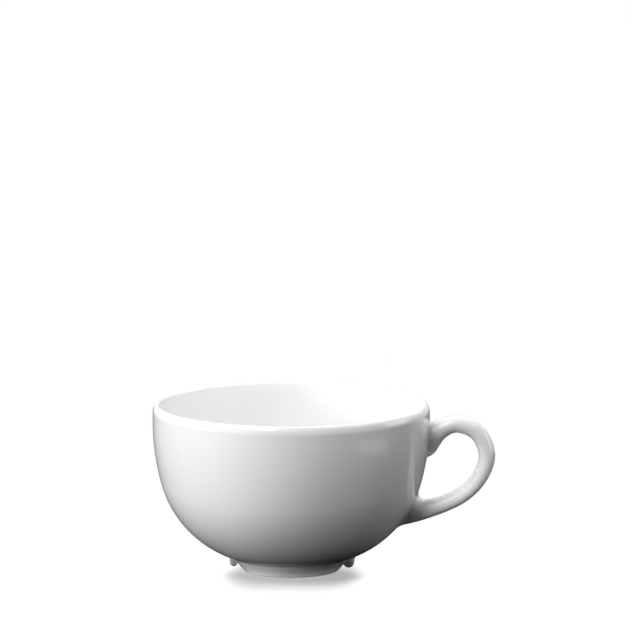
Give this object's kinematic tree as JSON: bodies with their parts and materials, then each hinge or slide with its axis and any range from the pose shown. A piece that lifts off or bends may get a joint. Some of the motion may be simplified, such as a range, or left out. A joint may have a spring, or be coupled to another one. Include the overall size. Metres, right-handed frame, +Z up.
{
  "type": "cappuccino cup",
  "caption": "Round-bellied porcelain cappuccino cup on a low flared foot ring, with an oval-section finger loop and small lugs under the bowl.",
  "frame": {"origin": "the middle of the face that the cup stands on, on the bowl's axis", "axes": "+Z up along the bowl's axis, +X towards the handle, +Y across the handle's plane"},
  "size_m": [0.1265, 0.102, 0.062],
  "materials": {
    "glazed_body": "clear gloss glaze over white porcelain",
    "glazed_handle": "clear gloss glaze over white porcelain",
    "foot": "gloss glaze on the sides, wiped bare and matt on the standing face",
    "slip": "smoothed slip under the same gloss glaze"
  },
  "bodies": {
    "root": {"bowl": "glazed_body", "foot_ring": "foot", "handle": "glazed_handle", "upper_slip_joint": "slip", "lower_slip_joint": "slip", "handle_side_lug": "glazed_body", "far_side_lug": "glazed_body"}
  },
  "joints": []
}
